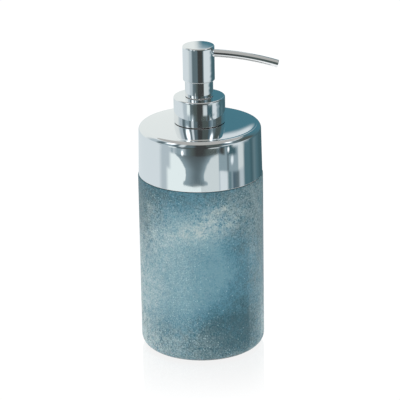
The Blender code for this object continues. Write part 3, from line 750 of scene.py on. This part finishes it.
# A white table that glows evenly. Near the foot of the object it lets a little of what is under it through,
# which is the glass turned upside down: the faint reflection of a polished table.
def makeFloor(values, reflected):
    half = values["size"] / 2.0
    corners = np.array([(-half, -half, 0.0), (half, -half, 0.0), (half, half, 0.0), (-half, half, 0.0)])
    mesh = meshFrom("tableTop", corners, [(0, 1, 2, 3)])
    material, tree, place = newMaterial("whiteTable")
    distance = addNode(tree, "ShaderNodeVectorMath", {0: place}, operation="LENGTH").outputs["Value"]
    fade = stretchValue(tree, distance, values["polishNear"], values["polishFar"], values["polish"], 0.0)
    lit = addNode(tree, "ShaderNodeEmission", {"Strength": values["white"]})
    through = addNode(tree, "ShaderNodeBsdfTransparent")
    both = addNode(tree, "ShaderNodeMixShader", {0: fade, 1: lit.outputs[0], 2: through.outputs[0]})
    setSurface(tree, both)
    mesh.materials.append(material)
    floor = bpy.data.objects.new("tableTop", mesh)
    image = bpy.data.objects.new("tableReflection", reflected.data)
    image.scale = (1.0, 1.0, -1.0)
    image.location.z = -gap
    for ray in ("diffuse", "glossy", "transmission", "volume_scatter", "shadow"):
        setattr(image, "visible_" + ray, False)
    for item in (floor, image):
        bpy.context.collection.objects.link(item)


# the screen on the spout side, the same in the three lowest tiers
lowScreen = [(96, "teal"), (104, "deepTeal"), (113, "lightTeal"), (124, "teal"), (136, "deepTeal")]
tentValues = {
    "radius": 0.25, "top": 0.40, "columns": 720, "lowRows": 170, "lowTop": 0.102, "highRows": 150,
    "tones": {
        "white": (0.85, 0.94, 0.94), "pale": (0.71, 0.78, 0.81), "warm": (0.65, 0.72, 0.73),
        "ash": (0.48, 0.56, 0.60), "steel": (0.28, 0.37, 0.41), "slate": (0.125, 0.175, 0.195),
        "olive": (0.085, 0.108, 0.105), "dark": (0.052, 0.056, 0.056), "navy": (0.085, 0.140, 0.175),
        "lightTeal": (0.140, 0.225, 0.255), "teal": (0.083, 0.170, 0.202), "deepTeal": (0.058, 0.122, 0.145),
        "beige": (0.46, 0.46, 0.44), "bright": (0.84, 0.88, 0.865), "screen": (0.073, 0.203, 0.260),
    },
    # tiers of panels from the table up: the lowest height, then azimuths with the tone there
    "tiers": [
        (0.000, [(-78, "pale"), (-70, "ash"), (-63, "ash"), (-57, "white"), (0, "white"), (1, "warm"),
                 (31, "warm"), (32.5, "ash"), (35, "pale"), (46, "pale"), (50, "lightTeal"), (54, "lightTeal"),
                 (56, "steel"), (59.5, "navy"), (69, "slate"), (74, "ash"), (80, "ash"),
                 (85, "teal")] + lowScreen),
        (0.0565, [(-78, "pale"), (-70, "ash"), (-57, "ash"), (-51, "white"), (0, "white"), (1, "warm"),
                  (31, "warm"), (32.5, "steel"), (46, "steel"), (48.5, "slate"), (52, "steel"), (60, "steel"),
                  (68, "steel"), (71, "warm"), (80, "warm"), (85, "teal")] + lowScreen),
        (0.0685, [(-77, "pale"), (-69, "ash"), (-53, "ash"), (-50, "steel"), (-47, "ash"), (-40, "steel"),
                  (-35, "steel"), (-29, "ash"), (-23, "slate"), (-13, "olive"), (-6, "dark"), (5, "dark"),
                  (12, "olive"), (27, "olive"), (31, "slate"), (37, "dark"), (41, "olive"), (45, "steel"),
                  (49, "deepTeal"), (62, "deepTeal"), (68, "steel"), (71, "warm"), (80, "warm"),
                  (86, "teal")] + lowScreen),
        (0.0745, [(-150, "warm"), (-130, "pale"), (-81, "pale"), (-72, "ash"), (-58, "ash"), (-54, "white"),
                  (-44, "white"), (-40, "slate"), (-22, "olive"), (-13, "olive"), (-8, "dark"), (12, "dark"),
                  (19, "warm"), (31, "warm"), (35, "navy"), (40, "deepTeal"), (55, "deepTeal"), (61, "pale"),
                  (76, "pale"), (84, "steel"), (94, "steel"), (98, "deepTeal"), (112, "teal"),
                  (134, "deepTeal"), (165, "teal")]),
        (0.0820, [(-150, "warm"), (-120, "pale"), (-88, "pale"), (-72, "ash"), (-60, "ash"), (-46, "slate"),
                  (-37, "slate"), (-14, "olive"), (-8, "dark"), (36, "dark"), (42, "warm"), (72, "warm"),
                  (84, "ash"), (94, "lightTeal"), (102, "deepTeal"), (165, "teal")]),
        (0.0950, [(-86, "pale"), (-76, "warm"), (-66, "ash"), (-55, "ash"), (-44, "slate"), (-11, "slate"),
                  (-5, "dark"), (24, "dark"), (31, "slate"), (38, "pale"), (80, "pale"), (92, "ash"),
                  (100, "lightTeal"), (118, "deepTeal"), (140, "deepTeal"), (160, "lightTeal")]),
        (0.1220, [(-112, "bright"), (-95, "ash"), (-83, "ash"), (-78, "slate"), (-69, "slate"), (-63, "steel"),
                  (-49, "steel"), (-44, "slate"), (-38, "slate"), (-34, "pale"), (-28, "pale"), (-24, "slate"),
                  (-14, "slate"), (-6, "dark"), (9, "dark"), (13, "olive"), (36, "olive"), (42, "navy"),
                  (56, "steel"), (62, "slate"), (72, "slate"), (76, "olive"), (105, "olive"), (112, "teal"),
                  (140, "screen")]),
        (0.3370, [(-120, "bright"), (-80, "pale"), (-66, "pale"), (-46, "beige"), (46, "beige"), (66, "ash"),
                  (84, "pale"), (104, "teal")]),
    ],
    # how softly one tier meets the next, by the azimuth either way from the front
    "softAzimuth": (45, 75, 110), "tierSoft": (0.0010, 0.0030, 0.0120),
    # towards the spout the low tiers start lower: from this azimuth, and how much by its end
    "fallFrom": 35, "fallTo": 66, "fall": 0.0045,
    # the jagged right edge of the bright panel beside the spout
    "jagFrom": 76, "jagTo": 118, "jagLow": 0.0745, "jagDepth": 5.0, "jagStep": 0.0036,
    # the teal screen behind: its soft top edge dips behind the spout side and in the middle of the back
    "screenAzimuth": (84, 157, 164, 165, 166, 167, 168, 170, 173, 176, 177.8, 180),
    "screenTop": (0.40, 0.40, 0.232, 0.242, 0.258, 0.272, 0.282, 0.292, 0.303, 0.302, 0.268, 0.2655),
    "screenSoft": (0.040, 0.040, 0.050, 0.055, 0.060, 0.060, 0.060, 0.056, 0.046, 0.020, 0.009, 0.007),
    # the dark stand in front: heights with its left and right edges
    "standHeights": (0.0475, 0.0492, 0.0508, 0.0550, 0.0590, 0.0630, 0.0665, 0.0690),
    "standLeft": (-30, -30, -26, -25, -26, -31, -38, -46),
    "standRight": (12, 12, 6, 5.5, 8, 12, 18, 27),
    "standFade": (0.058, 0.076),
    # small lamps: azimuth, height, how far each spreads both ways, and how bright it is
    "lamps": [(-55.5, 0.285, 9.0, 0.068, 1.6), (58, 0.330, 7.0, 0.055, 1.5), (-31, 0.0702, 1.8, 0.0018, 1.3),
              (50, 0.0702, 1.8, 0.0018, 1.2), (57, 0.0615, 2.6, 0.0030, 0.55), (-31, 0.085, 3.0, 0.0015, 0.5)],
}


# The panels that polished metal mirrors, on one cylinder round the object. Each tier blends its tones
# evenly from azimuth to azimuth; the stand lies over the lowest tiers, and a lamp is an oval whose
# brightness falls with the fourth power of the distance over its own spread.
def paintTent(azimuth, height, values):
    tones = {key: np.array(tone) for key, tone in values["tones"].items()}
    jag = values["jagDepth"] * (np.sin(math.tau * height / values["jagStep"])
                                + 0.6 * np.sin(math.tau * height / (values["jagStep"] * 1.7) + 1.0)) / 1.6
    nearJag = (azimuth > values["jagFrom"]) & (azimuth < values["jagTo"]) & (height > values["jagLow"])
    looked = azimuth + np.where(nearJag, jag, 0.0)
    colour = np.zeros(azimuth.shape + (3,))
    fall = values["fall"] * np.interp(azimuth, (values["fallFrom"], values["fallTo"]), (0.0, 1.0))
    level = height + fall * (height < values["standHeights"][-1] + values["fall"])
    softness = np.interp(np.abs(azimuth), values["softAzimuth"], values["tierSoft"])
    columns = azimuth.shape[1]
    for foot, stops in values["tiers"]:
        places = [place for place, tone in stops]
        blend = np.stack([np.interp(looked, places, [tones[tone][channel] for place, tone in stops])
                          for channel in range(3)], -1)
        reached = np.clip((level - foot) / softness + 0.5, 0.0, 1.0) if foot else 1.0
        colour = colour + (blend - colour) * np.reshape(reached, (-1, columns, 1) if foot else 1)
    screenTop = np.interp(azimuth, values["screenAzimuth"], values["screenTop"], left=0.0)
    screenSoft = np.interp(azimuth, values["screenAzimuth"], values["screenSoft"])
    over = np.clip((height - screenTop) / screenSoft + 0.5, 0.0, 1.0) * (azimuth > values["screenAzimuth"][0])
    colour = colour + (tones["pale"] - colour) * (over ** 2 * (3.0 - 2.0 * over))[..., None]
    left = np.interp(height, values["standHeights"], values["standLeft"])
    right = np.interp(height, values["standHeights"], values["standRight"])
    across = np.clip((azimuth - left) / (right - left), 0.0, 1.0)
    stand = (azimuth > left) & (azimuth < right) & (height > values["standHeights"][0]) \
        & (height < values["standHeights"][-1])
    shade = tones["steel"] + (tones["slate"] - tones["steel"]) * (np.sin(across ** 1.4 * math.pi)[..., None])
    fade = np.interp(height, values["standFade"], (0.0, 1.0))
    shade = shade + (tones["dark"] - shade) * (fade * np.sin(across * math.pi))[..., None]
    colour = np.where(stand[..., None], shade, colour)
    colour = (np.roll(colour, 1, axis=1) + 2.0 * colour + np.roll(colour, -1, axis=1)) / 4.0  # soft edges
    for middle, level, across, up, bright in values["lamps"]:
        away = (azimuth - middle + 180.0) % 360.0 - 180.0
        spread = (away / across) ** 2 + ((height - level) / up) ** 2
        colour += bright * np.exp(-0.7 * spread ** 2)[..., None]
    return colour


def makeTent(values):
    heights = np.concatenate([np.linspace(0.0005, values["lowTop"], values["lowRows"], endpoint=False),
                              np.linspace(values["lowTop"], values["top"], values["highRows"])])
    columns, rows = values["columns"], len(heights)
    middles = np.linspace(-180.0, 180.0, columns, endpoint=False) + 180.0 / columns
    azimuth, height = np.meshgrid(middles, heights)
    turn = np.radians(azimuth)
    points = np.stack([values["radius"] * np.sin(turn), -values["radius"] * np.cos(turn), height], -1)
    faces = gridFaces(rows, columns, False, None, None)
    mesh = meshFrom("lightTent", points.reshape(-1, 3), faces)
    colour = np.ones((rows * columns, 4), np.float32)
    colour[:, :3] = paintTent(azimuth, height, values).reshape(-1, 3)
    layer = mesh.color_attributes.new("tone", "FLOAT_COLOR", "POINT")
    layer.data.foreach_set("color", colour.ravel())
    material, tree, _ = newMaterial("tentPanels")
    tone = addNode(tree, "ShaderNodeAttribute", attribute_name="tone").outputs["Color"]
    setSurface(tree, addNode(tree, "ShaderNodeEmission", {"Color": tone}))
    mesh.materials.append(material)
    tent = bpy.data.objects.new("lightTent", mesh)
    bpy.context.collection.objects.link(tent)
    for ray in ("camera", "diffuse", "transmission", "volume_scatter", "shadow"):
        setattr(tent, "visible_" + ray, False)


skyValues = {
    "background": 1.0, "fill": 0.92,
    # how far up, and the tone there
    "ceiling": [(0.30, (0.84, 0.86, 0.86, 1.0)), (0.75, (0.47, 0.47, 0.455, 1.0))],
}


# Even white light from all round; mirrors see it fall off towards the ceiling.
def makeSky(values):
    world = bpy.data.worlds.new("studioSky")
    bpy.context.scene.world = world
    world.use_nodes = True
    tree = world.node_tree
    tree.nodes.clear()
    toSky = addNode(tree, "ShaderNodeTexCoord").outputs["Generated"]
    upward = addNode(tree, "ShaderNodeSeparateXYZ", {0: toSky}).outputs["Z"]
    rays, white = addNode(tree, "ShaderNodeLightPath").outputs, (1.0, 1.0, 1.0, 1.0)
    mirrored = addNode(tree, "ShaderNodeBackground", {"Color": toneRamp(tree, upward, values["ceiling"])})
    fill, backdrop = [addNode(tree, "ShaderNodeBackground", {"Color": white, "Strength": values[key]})
                      for key in ("fill", "background")]
    seen = fill
    for ray, light in (("Is Glossy Ray", mirrored), ("Is Camera Ray", backdrop)):
        seen = addNode(tree, "ShaderNodeMixShader", {0: rays[ray], 1: seen.outputs[0], 2: light.outputs[0]})
    addNode(tree, "ShaderNodeOutputWorld", {"Surface": seen.outputs[0]})


lampValues = [
    {"name": "lampLeft", "azimuth": -45.0, "elevation": 50.0, "distance": 1.3, "size": 0.6, "power": 2.4},
    {"name": "lampRight", "azimuth": 50.0, "elevation": 50.0, "distance": 1.3, "size": 0.6, "power": 1.2},
]


# Soft lamps shape the satin and moulded pieces; polished metal sees the tent's own lamps instead.
def makeLamp(values, target):
    azimuth, elevation = math.radians(values["azimuth"]), math.radians(values["elevation"])
    away = Vector((math.sin(azimuth) * math.cos(elevation), -math.cos(azimuth) * math.cos(elevation),
                   math.sin(elevation)))
    light = bpy.data.lights.new(values["name"], "AREA")
    light.shape = "DISK"
    light.size = values["size"]
    light.energy = values["power"]
    lamp = bpy.data.objects.new(values["name"], light)
    lamp.location = target + away * values["distance"]
    lamp.rotation_euler = away.to_track_quat("Z", "Y").to_euler()
    lamp.visible_glossy = False
    bpy.context.collection.objects.link(lamp)


cameraValues = {"distance": 1.405, "elevation": math.radians(20.2), "targetX": -0.0006, "targetZ": 0.0923,
                "lens": 207.0, "sensor": 36.0, "roll": math.radians(-0.99)}


# The camera looks down at the object from straight in front, turned a little about its own line of sight.
def makeCamera(values):
    tilt, roll = values["elevation"], values["roll"]
    forward = Vector((0.0, math.cos(tilt), -math.sin(tilt)))
    right = Vector((1.0, 0.0, 0.0))
    up = right.cross(forward)
    turnedRight = right * math.cos(roll) + up * math.sin(roll)
    turnedUp = up * math.cos(roll) - right * math.sin(roll)
    target = Vector((values["targetX"], 0.0, values["targetZ"]))
    data = bpy.data.cameras.new("productCamera")
    data.lens = values["lens"]
    data.sensor_width = values["sensor"]
    data.clip_start = 0.05
    camera = bpy.data.objects.new("productCamera", data)
    axes = Matrix((turnedRight, turnedUp, -forward)).transposed()
    camera.matrix_world = Matrix.Translation(target - forward * values["distance"]) @ axes.to_4x4()
    bpy.context.collection.objects.link(camera)
    bpy.context.scene.camera = camera


makeFloor(floorValues, glassVessel)
makeTent(tentValues)
makeSky(skyValues)
middle = (cadLow + cadHigh) / 2.0
for lamp in lampValues:
    makeLamp(lamp, middle)
makeCamera(cameraValues)
bpy.context.scene.view_settings.view_transform = "Standard"
print("studio ready")
